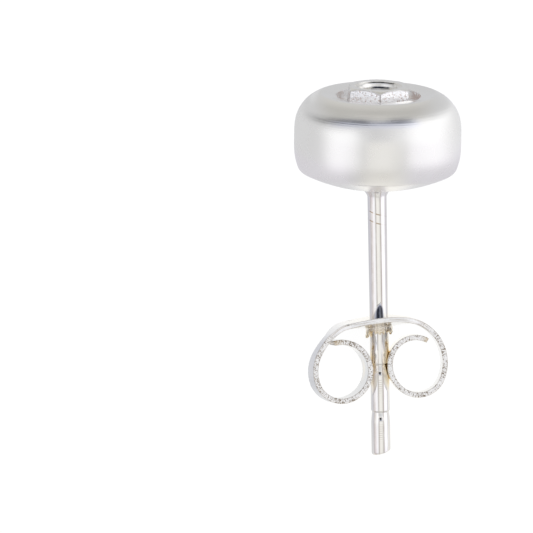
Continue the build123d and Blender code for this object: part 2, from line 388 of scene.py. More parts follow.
def polished_silver():
    """The wheel: buffed, with faint lap rings round its axis, closest over the shoulder."""
    m, tree, shader = new_material("polished_silver")
    at = object_position(tree)
    ring = attribute(tree, "profile")
    haze = noise_node(tree, at, 700.0, 4.0)
    lap = noise_node(tree, combine(tree, ring * 13.0, 0.0, 0.0), 1.0, 4.0, 0.65)
    shoulder = ring.window(1.15, 0.55, 0.5, 0.6)
    face = ring.ramp(0.9, 0.45)
    colour = mix_colour(tree, haze.ramp(0.35, 0.70), (0.940, 0.922, 0.892), (0.960, 0.944, 0.915))
    rough = 0.27 - shoulder * 0.05 - face * 0.15 + haze.ramp(0.4, 0.8) * 0.04
    colour_and_rough(tree, shader, colour, rough)
    bump(tree, shader, lap * (0.16 + shoulder * 0.84), 0.0085)
    return m


def cast_silver():
    """Hub recess: white and matt from pickling, with a faint painted glow, and uneven as it came from the mould."""
    m, tree, shader = new_material("cast_silver")
    at = object_position(tree)
    blotch = noise_node(tree, at, 4200.0, 4.0, 0.6)
    grain = noise_node(tree, at, 20000.0, 3.0, 0.65)
    colour = mix_colour(tree, blotch.ramp(0.36, 0.47), (0.84, 0.77, 0.72), (1.0, 1.0, 1.0))
    # Painted shade: brown darkening in two corners of the recess
    painted_corner_shade = attribute(tree, "pitted") * blotch.ramp(0.66, 0.48)
    colour = mix_colour(tree, painted_corner_shade, colour, (0.72, 0.61, 0.56))
    colour_and_rough(tree, shader, colour, 0.26 + grain * 0.22)
    tree.links.new((blotch.ramp(0.60, 0.40) * 0.30 + 0.05).out, shader.inputs["Metallic"])
    bump(tree, shader, blotch * 0.8 + grain * 0.5, 0.05)
    # Painted light: a faint glow over the recess, weaker where its corners are painted dark
    shader.inputs["Emission Color"].default_value = (1.0, 0.99, 0.98, 1.0)
    tree.links.new((0.085 - painted_corner_shade * 0.04).out, shader.inputs["Emission Strength"])
    return m


def nut_silver():
    """The nut's sides: as cast, but bright, with crumpled glints."""
    m, tree, shader = new_material("nut_silver")
    at = object_position(tree)
    blotch = noise_node(tree, at, 8200.0, 4.0, 0.62)
    grain = noise_node(tree, at, 17000.0, 3.0, 0.65)
    mix = blotch * 0.6 + grain * 0.4
    colour = mix_colour(tree, mix.ramp(0.395, 0.475), (0.62, 0.52, 0.48), (1.0, 0.995, 1.0))
    # Near black: painted shade along the top and bottom edges of the sides, and down one corner
    patina = attribute(tree, "patina")
    colour = mix_colour(tree, patina, colour, (0.20, 0.17, 0.16))
    colour_and_rough(tree, shader, colour, 0.12 + grain * 0.16)
    bump(tree, shader, blotch * 0.9 + grain * 0.4, 0.026)
    return m


def satin_silver():
    """Flat top of the nut and of the axle end, rubbed on an abrasive, with painted dark navy reflection in the axle
    end's groove and dish.
    """
    m, tree, shader = new_material("satin_silver")
    at = object_position(tree)
    blotch = noise_node(tree, at, 3800.0, 4.0, 0.6)
    pits = noise_node(tree, at, 26000.0, 2.0, 0.5)
    colour = mix_colour(tree, blotch.ramp(0.35, 0.65), (0.92, 0.90, 0.86), (0.955, 0.94, 0.91))
    pitted = attribute(tree, "pitted")
    colour = mix_colour(tree, pitted * pits.ramp(0.60, 0.70), colour, (0.45, 0.38, 0.36))
    # Painted dark navy reflection and shade in the groove round the axle end and in its dish, broken into patches
    patina = attribute(tree, "patina")
    patchy = noise_node(tree, at, 9000.0, 3.0, 0.6).ramp(0.34, 0.5) * 0.5 + 0.5
    colour = mix_colour(tree, patina * patchy, colour, (0.020, 0.028, 0.055))
    colour_and_rough(tree, shader, colour, 0.13 + blotch * 0.10 + pitted * 0.18)
    bump(tree, shader, pits.ramp(0.60, 0.75) * pitted * -1.0 + blotch * 0.25, 0.008)
    return m


def post_silver():
    """Drawn wire: bright, with drawing lines along it and a few tool marks, and with reflections painted on as
    stripes along it: brownish, golden by the clutch and grey at its sides.
    """
    m, tree, shader = new_material("post_silver")
    at = object_position(tree)
    t = attribute(tree, "wire_t")
    a = attribute(tree, "wire_a")
    lines = noise_node(tree, combine(tree, a * 9.0, t * 0.35, 0.0), 1.0, 3.0, 0.6)
    haze = noise_node(tree, at, 2500.0, 3.0)
    # A loose spiral near the root, and fine cross scratches behind each groove
    turn = (t * 2.60 - a * 0.32 - 2.212).op("FRACT")
    broken = noise_node(tree, combine(tree, a * 1.3, t * 4.0, 3.0), 1.0, 2.0).ramp(0.28, 0.42)
    spiral = turn.window(0.5, 0.035, 0.05, 0.05) * t.window(1.2, 0.33, 0.05, 0.05) * broken
    spiral = spiral * (a.window(-0.70, 0.20, 0.08, 0.08) + a.window(0.08, 0.22, 0.06, 0.06) + 0.12)
    cross = (t * 11.0).op("FRACT").window(0.5, 0.05, 0.14, 0.14)
    near = t.window(10.3, 0.22, 0.1, 0.35) + t.window(8.35, 0.2, 0.1, 0.3)
    cross = cross * near * a.window(0.0, 0.16, 0.1, 0.1)
    colour = mix_colour(tree, haze.ramp(0.35, 0.7), (0.94, 0.92, 0.89), (0.965, 0.948, 0.92))
    broken = noise_node(tree, combine(tree, a * 1.5, t * 1.4, 7.0), 1.0, 3.0, 0.6).ramp(0.25, 0.62)
    # Painted reflections: brownish stripes at fixed places round the wire
    painted_reflection_stripes = a.window(-0.168, 0.030, 0.05, 0.05) * 0.36 + a.window(0.325, 0.035, 0.05, 0.05) * 0.52
    painted_reflection_stripes = painted_reflection_stripes + a.window(-0.66, 0.12, 0.12, 0.12) * 0.40 + a.window(1.02, 0.02, 0.05, 0.05) * 0.26
    colour = mix_colour(tree, painted_reflection_stripes * (0.45 + broken * 0.75), colour, (0.50, 0.40, 0.34))
    colour = mix_colour(tree, spiral * 0.75 + cross * 0.22, colour, (0.46, 0.34, 0.22))
    # Painted reflection: a golden cast on the wire's sides near the clutch
    painted_golden_reflection = t.window(6.35, 0.85, 0.3, 0.35) * a.op("ABSOLUTE").ramp(0.45, 0.95) * 0.30
    colour = mix_colour(tree, painted_golden_reflection, colour, (0.96, 0.82, 0.60))
    # Painted reflection: grey bands down the wire's two sides, stronger towards its free end
    rim = a.window(-1.22, 0.14, 0.12, 0.30) * (t.ramp(8.2, 9.3) * 0.40 + 0.45)
    rim = rim + a.window(1.22, 0.12, 0.12, 0.30) * (t.ramp(8.2, 9.3) * 0.45 + 0.02)
    colour = mix_colour(tree, rim, colour, (0.60, 0.60, 0.645))
    # Near black: painted shade in the grooves and pits, and darker towards the cut face
    patina = attribute(tree, "patina")
    colour = mix_colour(tree, patina, colour, (0.020, 0.024, 0.035))
    colour_and_rough(tree, shader, colour, 0.035 + lines.ramp(0.5, 0.8) * 0.05 + t.ramp(0.40, 0.22) * 0.30)
    bump(tree, shader, lines * 0.6 - spiral * 1.2 - cross * 0.5, 0.0022)
    return m


def strip_silver():
    """The clutch: rolled strip, bright on its faces, torn and speckled on its sheared edges, which have a faint
    painted glow.
    """
    m, tree, shader = new_material("clutch_silver")
    at = object_position(tree)
    edge = attribute(tree, "sheared")
    burr = attribute(tree, "burr")
    along = attribute(tree, "along")
    across = attribute(tree, "across")
    haze = noise_node(tree, at, 2200.0, 3.0)
    rolled = noise_node(tree, combine(tree, along * 0.5, across * 6.0, 0.0), 1.0, 3.0, 0.6)
    tooth = noise_node(tree, combine(tree, along * 17.0, across * 7.0, 0.0), 1.0, 2.0, 0.55)
    speck = noise_node(tree, at, 30000.0, 2.0, 0.6)
    area = noise_node(tree, at, 1500.0, 2.0, 0.5)
    streak = noise_node(tree, combine(tree, along * 0.9, across * 17.0, 4.0), 1.0, 3.0, 0.6)
    grit = tooth * 0.45 + speck * 0.55
    plate = attribute(tree, "plate")
    painted_tan_reflection = attribute(tree, "tan")
    face = mix_colour(tree, haze.ramp(0.35, 0.7), (0.92, 0.905, 0.885), (0.955, 0.945, 0.93))
    dots = (grit + area * 0.20).ramp(0.535, 0.57)
    sheared = mix_colour(tree, dots, (0.26, 0.19, 0.12), (0.99, 0.975, 0.95))
    lines = mix_colour(tree, streak.ramp(0.40, 0.50), (0.66, 0.62, 0.56), (0.99, 0.98, 0.965))
    sheared = mix_colour(tree, plate, sheared, lines)
    arris = across.op("ABSOLUTE").window(0.088, 0.006, 0.012, 0.02) * edge * 0.45
    sheared = mix_colour(tree, arris, sheared, (0.52, 0.44, 0.34))
    # Painted shade on the scrolls' inner faces, darker still along part of the left scroll
    painted_inside_shade = across.ramp(-0.092, -0.101)
    face = mix_colour(tree, painted_inside_shade, face, (0.80, 0.81, 0.84))
    face = mix_colour(tree, painted_inside_shade * along.window(-7.1, 1.3, 0.5, 0.6), face, (0.56, 0.58, 0.63))
    # Painted shade, streaked, on the outer faces of part of the left arm
    painted_outside_shade = across.ramp(0.092, 0.101) * (1.0 - plate) * along.window(-4.2, 1.9, 0.4, 0.6)
    face = mix_colour(tree, painted_outside_shade * (0.55 + streak.ramp(0.40, 0.55) * 0.45), face, (0.58, 0.59, 0.62))
    colour = mix_colour(tree, edge, face, sheared)
    nick = attribute(tree, "nick")
    colour = mix_colour(tree, nick, colour, (0.20, 0.17, 0.13))
    torn = mix_colour(tree, grit.ramp(0.40, 0.56), (0.62, 0.47, 0.29), (0.96, 0.88, 0.74))
    colour = mix_colour(tree, burr, colour, torn)
    # Painted golden reflection where the scrolls face the post
    colour = mix_colour(tree, painted_tan_reflection, colour, (0.95, 0.845, 0.64))
    # Painted shade, dark navy, on the drawn-in face over the hole
    shade = attribute(tree, "shade")
    cloudy = noise_node(tree, at, 3600.0, 3.0, 0.6).ramp(0.30, 0.55) * 0.25 + 0.75
    colour = mix_colour(tree, shade * cloudy, colour, (0.13, 0.155, 0.22))
    # Painted light: a faint glow on the bright specks of the sheared edges
    shader.inputs["Emission Color"].default_value = (1.0, 0.985, 0.96, 1.0)
    tree.links.new((edge * dots * (1.0 - burr) * 0.12).out, shader.inputs["Emission Strength"])
    colour_and_rough(tree, shader, colour, 0.10 + haze * 0.05 + edge * 0.30 + burr * 0.1)
    tree.links.new((1.0 - edge * (1.0 - burr) * 0.62).out, shader.inputs["Metallic"])
    height = rolled * (1.0 - edge) * 0.05 + grit * (edge * (1.0 - plate * 0.8) * 1.3 + burr * 0.8)
    bump(tree, shader, height, 0.016)
    return m


MATERIALS = [polished_silver(), cast_silver(), nut_silver(), satin_silver(), post_silver()]
POLISH, CAST, NUT, SATIN, WIRE = range(5)

# ---------------------------------------------------------------- stud: one closed mesh

SEGMENTS = 204
per_side = SEGMENTS // 6
THETA = np.array([
    radians(NUT_TURN + 60 * (k + q - 0.62 * sin(2 * pi * q) / (2 * pi)))
    for k in range(6)
    for q in (j / per_side for j in range(per_side))
])
COS, SIN = np.cos(THETA), np.sin(THETA)
ONES = np.ones(SEGMENTS)
# How far round from the top of the wheel each segment stands, in degrees
FROM_TOP = np.abs((np.degrees(THETA) - 270 + 180) % 360 - 180)


def hexagon(apothem, rounding):
    """Radius of a hexagon with rounded corners in each direction."""
    from_corner = (np.degrees(THETA) - NUT_TURN + 30) % 60 - 30
    side = apothem / np.cos(np.radians(30 - np.abs(from_corner)))
    d = (apothem - rounding) / cos(pi / 6)
    delta = np.radians(from_corner)
    arc = d * np.cos(delta) + np.sqrt(np.maximum(rounding**2 - (d * np.sin(delta)) ** 2, 0))
    reach = degrees(atan2(rounding * 0.5, d + rounding * cos(pi / 6)))
    return np.where(np.abs(from_corner) <= reach, arc, side)


HEX = hexagon(NUT_APOTHEM, NUT_CORNER_ROUND)


def on_wheel(r, z):
    """A ring round the wheel's axis; r and z are numbers or one value for each direction."""
    r, z = r * ONES, z * ONES
    return WIDEST + (r * COS)[:, None] * WHEEL_X + (r * SIN)[:, None] * WHEEL_Y + z[:, None] * FACE


def on_post(r, t):
    """A ring round the post's axis, t from its root."""
    r, t = r * ONES, t * ONES
    return ROOT + (r * COS)[:, None] * RIGHT + (r * SIN)[:, None] * POST_Y + t[:, None] * TAIL


def chamfer_drop(r):
    return np.maximum(r - (NUT_APOTHEM - 0.02), 0) * NUT_CHAMFER


def wheel_profile():
    """(r, z) from the recess's rim over the crest, round the side and to the back corner.
    Lapping has evened out how its normals turn."""
    end_angle = acos((SHOULDER_END_R - SHOULDER_CENTRE_R) / SHOULDER_RUN)
    end_z = SHOULDER_RISE * sin(end_angle)
    fall_out = atan2(SHOULDER_RISE * cos(end_angle), SHOULDER_RUN * sin(end_angle))
    arc_r = (RIM_Z + tan(FACE_DISH) * (SHOULDER_END_R - RECESS_R) - end_z) / (
        cos(FACE_DISH) - cos(fall_out) + tan(FACE_DISH) * (sin(fall_out) + sin(FACE_DISH))
    )
    centre = (SHOULDER_END_R - arc_r * sin(fall_out), end_z - arc_r * cos(fall_out))
    pts = [(RECESS_R, RIM_Z)]
    for i in range(41):
        a = -FACE_DISH + (fall_out + FACE_DISH) * i / 40
        pts.append((centre[0] + arc_r * sin(a), centre[1] + arc_r * cos(a)))
    for i in range(1, 400):
        a = end_angle * (1 - i / 400)
        pts.append((SHOULDER_CENTRE_R + SHOULDER_RUN * cos(a), SHOULDER_RISE * sin(a)))
    for i in range(160):
        pts.append((WHEEL_R, -SIDE_STRAIGHT * i / 160))
    side_end = asin((-SIDE_STRAIGHT - BACK_CORNER_Z) / SIDE_ARC_R)
    for i in range(201):
        a = side_end * i / 200
        pts.append((WHEEL_R - SIDE_ARC_R * (1 - cos(a)), -SIDE_STRAIGHT - SIDE_ARC_R * sin(a)))
    pts = np.array(pts)
    step = np.r_[0, np.cumsum(np.linalg.norm(np.diff(pts, axis=0), axis=1))]
    at = np.arange(0, step[-1], 0.01)
    even = np.stack([np.interp(at, step, pts[:, k]) for k in (0, 1)], 1)
    share = smooth(0.9, 2.2, at)[:, None]
    return at, gauss(even, 5) * (1 - share) + gauss(even, 22) * share


def resample(at, curve, where):
    return [float(np.interp(where, at, curve[:, k])) for k in (0, 1)]


rings, slots, marks = [], [], {"profile": [], "patina": [], "pitted": [], "wire_t": []}


def ring(points, slot, **values):
    rings.append(points)
    slots.append(slot)
    for key, column in marks.items():
        column.append(values.get(key, 0.0) * ONES)


def arc_rings(centre_r, centre_z, radius, angles, slot, **values):
    """Rings along a small rounding; angles are degrees from the axis, outwards."""
    for a in angles:
        a = radians(a)
        ring(on_wheel(centre_r + radius * sin(a), centre_z + radius * cos(a)), slot, **values)


# Painted dark reflection, near black and navy, in the groove round the axle end on the low side, where the groove is
# deepest; elsewhere polish has half filled it. More painted dark reflection in the dish's corner
hub_turn = np.abs((np.degrees(THETA) - 261 + 180) % 360 - 180)
low_side = smooth(150, 162, hub_turn)
groove_floor = BORE_FLOOR_Z + (1.638 - BORE_FLOOR_Z) * (1 - smooth(144, 158, hub_turn))
dish_painted_dark = smooth(144, 158, hub_turn)

# Axle end: a dished face, a steep wall and a rounded lip
for r in np.linspace(0.05, DISH_FLOOR_R - 0.09, 18):
    dark = dish_painted_dark * float(smooth(0.55, 0.63, r))
    ring(on_wheel(r, DISH_FLOOR_Z + 0.010 * (1 - (r / 0.7) ** 2)), SATIN, pitted=1.0, patina=dark)
for a in (0, 14, 28, 42, 56, 70):
    b = radians(a)
    dark = dish_painted_dark * (1.0 if a < 60 else 0.4)
    ring(
        on_wheel(DISH_FLOOR_R - 0.055 + 0.07 * sin(b), DISH_FLOOR_Z + 0.07 * (1 - cos(b))),
        SATIN, pitted=0.5, patina=dark,
    )
wall = np.array([DISH_FLOOR_R + 0.012, DISH_FLOOR_Z + 0.05])
lip = np.array([DISH_R - 0.012, AXLE_TOP_Z - 0.025])
for k in (0.1, 0.35, 0.6, 0.85):
    r, z = wall * (1 - k) + lip * k
    ring(on_wheel(r, z), SATIN)
arc_rings(DISH_R + 0.016, AXLE_TOP_Z - 0.026, 0.026, (-70, -45, -22, 0), SATIN)
arc_rings(AXLE_R - 0.03, AXLE_TOP_Z - 0.03, 0.03, (0, 22), SATIN, patina=low_side * 0.6)
arc_rings(AXLE_R - 0.03, AXLE_TOP_Z - 0.03, 0.03, (45, 68, 88), SATIN, patina=low_side)
for k in np.linspace(0, 1, 5):
    z = (AXLE_TOP_Z - 0.034) * (1 - k) + (groove_floor + 0.002) * k
    ring(on_wheel(AXLE_R, z), SATIN, patina=low_side)
for r in (AXLE_R + 0.012, AXLE_R + 0.05, BORE_R - 0.012):
    ring(on_wheel(r, groove_floor - 0.001), SATIN, patina=low_side)
for k in np.linspace(0, 1, 7):
    z = (groove_floor + 0.012) * (1 - k) + (NUT_TOP_Z - 0.05) * k
    ring(on_wheel(BORE_R, z), SATIN, patina=low_side * float(1 - smooth(0.86, 1.0, k)))
arc_rings(BORE_R + 0.035, NUT_TOP_Z - 0.035, 0.035, (-85, -68, -50, -34, -17, 0), SATIN)

# Nut: rubbed top, cone-chamfered corners, then its six sides
for r in np.linspace(BORE_R + 0.06, NUT_APOTHEM - 0.085, 6):
    ring(on_wheel(r, NUT_TOP_Z), SATIN)
for k in (0.0, 0.25, 0.5, 0.75, 1.0):
    r = (NUT_APOTHEM - 0.070) * (1 - k) + (HEX - 0.075) * k
    ring(on_wheel(r, NUT_TOP_Z - chamfer_drop(r)), SATIN)
EDGE = 0.024
seam = np.exp(-(((np.degrees(THETA) - NUT_TURN - 240) / 0.9) ** 2)) * 0.8
for a in (25, 50, 75):
    b = radians(a)
    ring(
        on_wheel(HEX - 0.045 - EDGE * (1 - sin(b)), NUT_TOP_Z - chamfer_drop(HEX - 0.045) - EDGE * (1 - cos(b))),
        SATIN if a < 60 else NUT,
    )
side_top = NUT_TOP_Z - chamfer_drop(HEX - 0.045) - EDGE
for k in np.linspace(0, 1, 16):
    low = float(smooth(0.42, 0.62, k))
    # Painted shade: dark lines along the top and bottom edges of the sides
    outline = 0.42 if k == 0 else (0.35 if k == 1 else 0.0)
    draft = 0.045 * (1 - k)  # cast with draft
    ring(on_wheel(HEX - draft, side_top * (1 - k) + (FLOOR_Z + 0.05) * k), NUT, patina=np.maximum(seam * (1 - low * 0.6), outline))
for a in (30, 60, 90):
    b = radians(a)
    ring(on_wheel(HEX + 0.05 * (1 - cos(b)), FLOOR_Z + 0.05 * (1 - sin(b))), NUT if a < 60 else CAST)

# Recess floor and wall, with painted brown shade in two of its corners
turn = np.degrees(THETA) % 360
# Painted shade: where round the recess its corners are darkened
painted_corner_shade = smooth(2, 10, turn) * smooth(42, 32, turn) + 0.6 * smooth(142, 150, turn) * smooth(172, 164, turn)
for k in np.linspace(0.12, 1.0, 10):
    ring(on_wheel((HEX + 0.05) * (1 - k) + (RECESS_R - 0.05) * k, FLOOR_Z), CAST, pitted=painted_corner_shade * k)
for a in (30, 60, 90):
    b = radians(a)
    ring(on_wheel(RECESS_R - 0.05 * (1 - sin(b)), FLOOR_Z + 0.05 * (1 - cos(b))), CAST, pitted=painted_corner_shade)
for z in np.linspace(FLOOR_Z + 0.09, RIM_Z - 0.04, 7):
    ring(on_wheel(RECESS_R, z), CAST, pitted=painted_corner_shade)

# Rim, dished face, crest, shoulder and side
at, curve = wheel_profile()
lip_up = 0.055 * smooth(272, 276, turn) * smooth(326, 312, turn)
for a, k in ((-78, 0.3), (-60, 0.6), (-42, 0.9), (-26, 1.0)):
    b = radians(a)
    ring(
        on_wheel(RECESS_R + 0.022 + 0.022 * sin(b), RIM_Z - 0.0185 + 0.022 * cos(b) + lip_up * k),
        POLISH, profile=0.01,
    )
for dr, k in ((0.0, 1.0), (0.005, 1.0), (0.008, 0.93), (0.010, 0.70), (0.012, 0.30), (0.014, 0.07), (0.018, 0.0), (0.024, 0.0)):
    ring(on_wheel(RECESS_R + 0.038 + dr, RIM_Z + 0.0035 + dr * 0.17 + lip_up * k), POLISH, profile=0.03)
for where in np.r_[np.arange(0.08, 1.2, 0.025), np.arange(1.2, at[-1] - 0.13, 0.045)]:
    r, z = resample(at, curve, where)
    ring(on_wheel(r, z), POLISH, profile=where)
# Back corner, rounded, then the domed back
DOME_R = (BACK_CORNER_R**2 + DOME_H**2) / (2 * DOME_H)


def dome(r):
    return APEX_Z + DOME_R - np.sqrt(DOME_R**2 - r**2)


start = np.array(resample(at, curve, at[-1] - 0.13))
stop_r = BACK_CORNER_R - 0.13
stop = np.array([stop_r, dome(stop_r)])
corner = np.array([BACK_CORNER_R - 0.004, BACK_CORNER_Z + 0.002])
for k in np.linspace(0.1, 0.9, 9):
    p = (1 - k) ** 2 * start + 2 * k * (1 - k) * corner + k**2 * stop
    ring(on_wheel(p[0], p[1]), POLISH, profile=at[-1] + k * 0.2)
for r in np.linspace(stop_r, 0.86, 34):
    ring(on_wheel(r, dome(r)), POLISH, profile=at[-1] + 0.3 + stop_r - r)

# Solder fillet, uneven, drawn up the wire by the flame
wander = 0.016 * np.sin(2 * THETA + 0.7) + 0.010 * np.sin(5 * THETA + 2.1)
fillet = [
    (0.74, -0.041), (0.66, -0.022), (0.60, 0.012), (0.55, 0.052), (0.507, 0.10),
    (0.472, 0.15), (0.445, 0.20), (0.424, 0.25), (0.41, 0.295), (0.4025, 0.34),
]
for i, (r, t) in enumerate(fillet):
    share = sin(pi * i / (len(fillet) - 1))
    target = on_post(r + wander * share, t + wander * share)
    if i == 0:
        target = 0.5 * target + 0.5 * on_wheel(r, dome(r))
    if i < 4:
        ring(target, POLISH, profile=9.0)
    else:
        ring(target, WIRE, wire_t=t)


# Wire, with its two friction grooves
def wire(a, b, n):
    for t in np.linspace(a, b, n + 1)[1:]:
        ring(on_post(POST_R, t), WIRE, wire_t=t)


wire(0.38, GROOVE_AT[0] - 0.02, 40)
for i, g in enumerate(GROOVE_AT):
    # Painted shade in the groove, on its steep side
    for r, t, dark in (
        (POST_R, g - 0.004, 0.0),
        (POST_R - 0.006, g + 0.012, 0.25),
        (POST_R - GROOVE_DEPTH * 0.5, g + GROOVE_STEP * 0.5, 0.35),
        (POST_R - GROOVE_DEPTH + 0.008, g + GROOVE_STEP - 0.008, 0.30),
        (POST_R - GROOVE_DEPTH, g + GROOVE_STEP + 0.01, 0.0),
    ):
        ring(on_post(r, t), WIRE, wire_t=t, patina=dark)
    begin, end = g + GROOVE_STEP + 0.01, g + GROOVE_WIDTH
    pit = PIT_AT[i]
    stations = np.r_[
        np.linspace(begin, pit - 0.14, 5)[1:], np.linspace(pit - 0.13, pit + 0.13, 35),
        np.linspace(pit + 0.14, end + 0.01, 4),
    ]
    for t in stations:
        k = min(max((t - begin) / (end - begin), 0.0), 1.0)
        r = POST_R - GROOVE_DEPTH * (1 - k) ** 1.35
        # The pit lies on the top line; its raised lip makes a bright halo, and shade is painted dark into the pit
        sideways = r * np.radians(FROM_TOP)
        d = np.sqrt(sideways**2 + (t - pit) ** 2)
        sunk = -0.045 * np.exp(-((d / 0.044) ** 2)) + 0.011 * np.exp(-(((d - 0.095) / 0.022) ** 2))
        ring(on_post(r + sunk, t), WIRE, wire_t=t, patina=np.exp(-((d / 0.056) ** 4)))
    if i == 0:
        wire(end + 0.02, GROOVE_AT[1] - 0.02, 12)
wire(GROOVE_AT[1] + GROOVE_WIDTH + 0.02, 10.95, 7)

# Clipped end: slanted, and well rounded on its long side
LEFTNESS = -COS  # 1 on the long side, which is towards +X
round_r = 0.055 + 0.115 * smooth(-0.5, 1.0, LEFTNESS)


def end_at(x):
    """How far the cut end reaches at a sideways place x, + to the right."""
    return POST_LENGTH - (POST_R + x) * END_SLOPE - 0.005


for k in np.linspace(0, 1, 11):
    a = k * pi / 2
    r = POST_R - round_r * (1 - cos(a))
    # Darker towards the cut face
    end_darkening = 0.34 * sin(a) ** 2 * (0.8 + 0.2 * np.sin(THETA * 9) + 0.2 * np.sin(THETA * 23))
    ring(on_post(r, end_at(r * COS) - round_r * (1 - sin(a))), WIRE, wire_t=11.0, patina=end_darkening)
for k in (0.85, 0.68, 0.5, 0.33, 0.16):
    r = (POST_R - round_r) * k
    ring(on_post(r, end_at(r * COS)), SATIN)

count = len(rings)
stud_verts = np.array(rings).reshape(-1, 3)
stud_faces = grid_faces(count, SEGMENTS)
face_slots = np.repeat([max(slots[i], slots[i + 1]) if slots[i] != POLISH else slots[i + 1] for i in range(count - 1)], SEGMENTS)

# As-cast unevenness of the nut's sides and of the recess, as real relief
slot_of_vertex = np.repeat(slots, SEGMENTS)
rough = (slot_of_vertex == CAST) | (slot_of_vertex == NUT)
cast = (slot_of_vertex == CAST)[rough] * 1.0
relief = fbm(stud_verts[rough], 9.0, 4, 3.1) * (0.007 + 0.010 * cast)
relief += fbm(stud_verts[rough], 19.0, 3, 8.4) * (0.005 + 0.004 * cast)
away = stud_verts[rough] - WIDEST
axial = away @ FACE
radial = away - axial[:, None] * FACE
radial /= np.linalg.norm(radial, axis=1)[:, None]
stud_verts[rough] += relief[:, None] * (radial * 0.8 + FACE * 0.6)

first, last = len(stud_verts), len(stud_verts) + 1
stud_verts = np.vstack([
    stud_verts,
    [WIDEST + FACE * (DISH_FLOOR_Z + 0.010)],
    [ROOT + TAIL * end_at(0)],
])
for j in range(SEGMENTS):
    k = (j + 1) % SEGMENTS
    stud_faces.append((first, k, j))
    stud_faces.append((last, (count - 1) * SEGMENTS + j, (count - 1) * SEGMENTS + k))
face_slots = np.r_[face_slots, np.full(2 * SEGMENTS, SATIN)]
attributes = {key: np.r_[np.concatenate(column), 0.0, 0.0] for key, column in marks.items()}
attributes["pitted"][first] = 1.0
# Angle round the wire from its top line, its seam hidden underneath
turned = (np.degrees(THETA) - 270 + 180) % 360 - 180
attributes["wire_a"] = np.r_[np.tile(np.radians(turned), count), 0.0, 0.0]

stud = make_object(
    "stud_body", stud_verts, [f[::-1] for f in stud_faces], MATERIALS, face_slots, attributes
)

# ---------------------------------------------------------------- clutch: one closed mesh


def centre_line():
    """The strip's middle line: s from the post, + to the right, and x to the right,
    y towards the head and heading for each s."""

    def walk(bends, turn, heading):
        x, y, s = 0.0, STRADDLE, 0.0
        out = [(s, x, y, heading)]
        for radius, turned in bends:
            cx, cy = x - sin(heading) * turn * radius, y + cos(heading) * turn * radius
            a0 = atan2(y - cy, x - cx)
            sweep = turn * radians(turned)
            n = max(6, int(radius * abs(sweep) / 0.004))
            for i in range(1, n + 1):
                a = a0 + sweep * i / n
                out.append((
                    s + radius * abs(sweep) * i / n,
                    cx + radius * cos(a), cy + radius * sin(a), heading + sweep * i / n,
                ))
            s, x, y, heading = out[-1]
        return np.array(out)

    right = walk(RIGHT_BENDS, -1, HEADING)
    left = walk(LEFT_BENDS, 1, HEADING + pi)[::-1]
    left = np.stack([-left[:, 0], left[:, 1], left[:, 2], left[:, 3] - pi], 1)
    line = np.vstack([left[:-1], right])
    # Bends run into one another, as rolled strip does
    at = np.arange(line[0, 0], line[-1, 0], 0.01)
    return at, gauss(np.stack([np.interp(at, line[:, 0], line[:, k]) for k in (1, 2, 3)], 1), 12)


LINE_S, LINE = centre_line()


def line_at(s):
    return [np.interp(s, LINE_S, LINE[:, k]) for k in range(3)]


def lean_at(s):
    """Sideways and endways lean for each mm of height, which the rolling changed."""
    side = 0.070 + 0.062 * smooth(-1.6, -4.2, s) - 0.028 * smooth(1.8, 4.6, s)
    end = -0.027 + 0.005 * smooth(1.5, 3.5, np.abs(s))
    return side, end


def place(s, v, w):
    """World point on the strip: along it, height, and w outwards from its middle. The
    piercing punch drew the plate in round its hole, towards the post's free end."""
    x, y, heading = line_at(s)
    side, end = lean_at(s)
    off = np.hypot(s, v - PLATE_MID)
    w = w - 0.205 * 0.5 * (np.sqrt((1.62 - off) ** 2 + 0.006) + (1.62 - off)) * smooth(1.85, 1.68, off)
    nx, ny = -np.sin(heading), np.cos(heading)
    px = x + w * nx + side * (v - PLATE_MID)
    py = y + w * ny + end * (v - PLATE_MID)
    return np.stack([HOLE[0] - px + 0.035, HOLE[1] - py + 0.02, v], -1)


def half_width(s):
    """Half of the strip's width: the plate's rounded outline, then the arms."""
    x, _, _ = line_at(s)
    d = np.abs(x - PLATE_OFF) - (PLATE_L / 2 - PLATE_CORNER)
    corner = ARM_W / 2 + np.sqrt(np.maximum(PLATE_CORNER**2 - np.maximum(d, 0) ** 2, 0))
    return np.where((np.abs(s) < 2.6) & (d < PLATE_CORNER), corner, ARM_W / 2)


def plate_end(sign):
    low, high = 1.2, 2.8
    for _ in range(50):
        mid = (low + high) / 2
        if abs(line_at(sign * mid)[0] - PLATE_OFF) < PLATE_L / 2:
            low = mid
        else:
            high = mid
    return sign * low


# Places along the strip, closer where the plate's outline turns down into the arms
LEFT_END, RIGHT_END = plate_end(-1), plate_end(1)
PATCH = 0.76
PATCH_S = np.linspace(-PATCH, PATCH, 39)
quarter = PLATE_CORNER * (1 - np.cos(np.linspace(0, pi / 2, 30)))
S = np.concatenate([
    np.linspace(LINE_S[0] + 0.03, LEFT_END - 0.05, 190),
    [LEFT_END - 0.03, LEFT_END - 0.012],
    [s for s in LEFT_END + quarter + 1e-4 if s < -PATCH - 0.03],
    PATCH_S,
    [s for s in (RIGHT_END - quarter - 1e-4)[::-1] if s > PATCH + 0.03],
    [RIGHT_END + 0.012, RIGHT_END + 0.03],
    np.linspace(RIGHT_END + 0.05, LINE_S[-1] - 0.03, 190),
])
first_patch = int(np.searchsorted(S, PATCH_S[0] - 1e-6))
last_patch = first_patch + len(PATCH_S) - 1

half = half_width(S)
# A short fillet where the plate runs into each arm
for end_s, sign in ((LEFT_END, -1), (RIGHT_END, 1)):
    d = sign * (S - end_s)
    near = (d > -1e-6) & (d < 0.16)
    half[near] = ARM_W / 2 + 0.13 * (1 - np.sqrt(1 - (1 - d[near] / 0.16) ** 2))

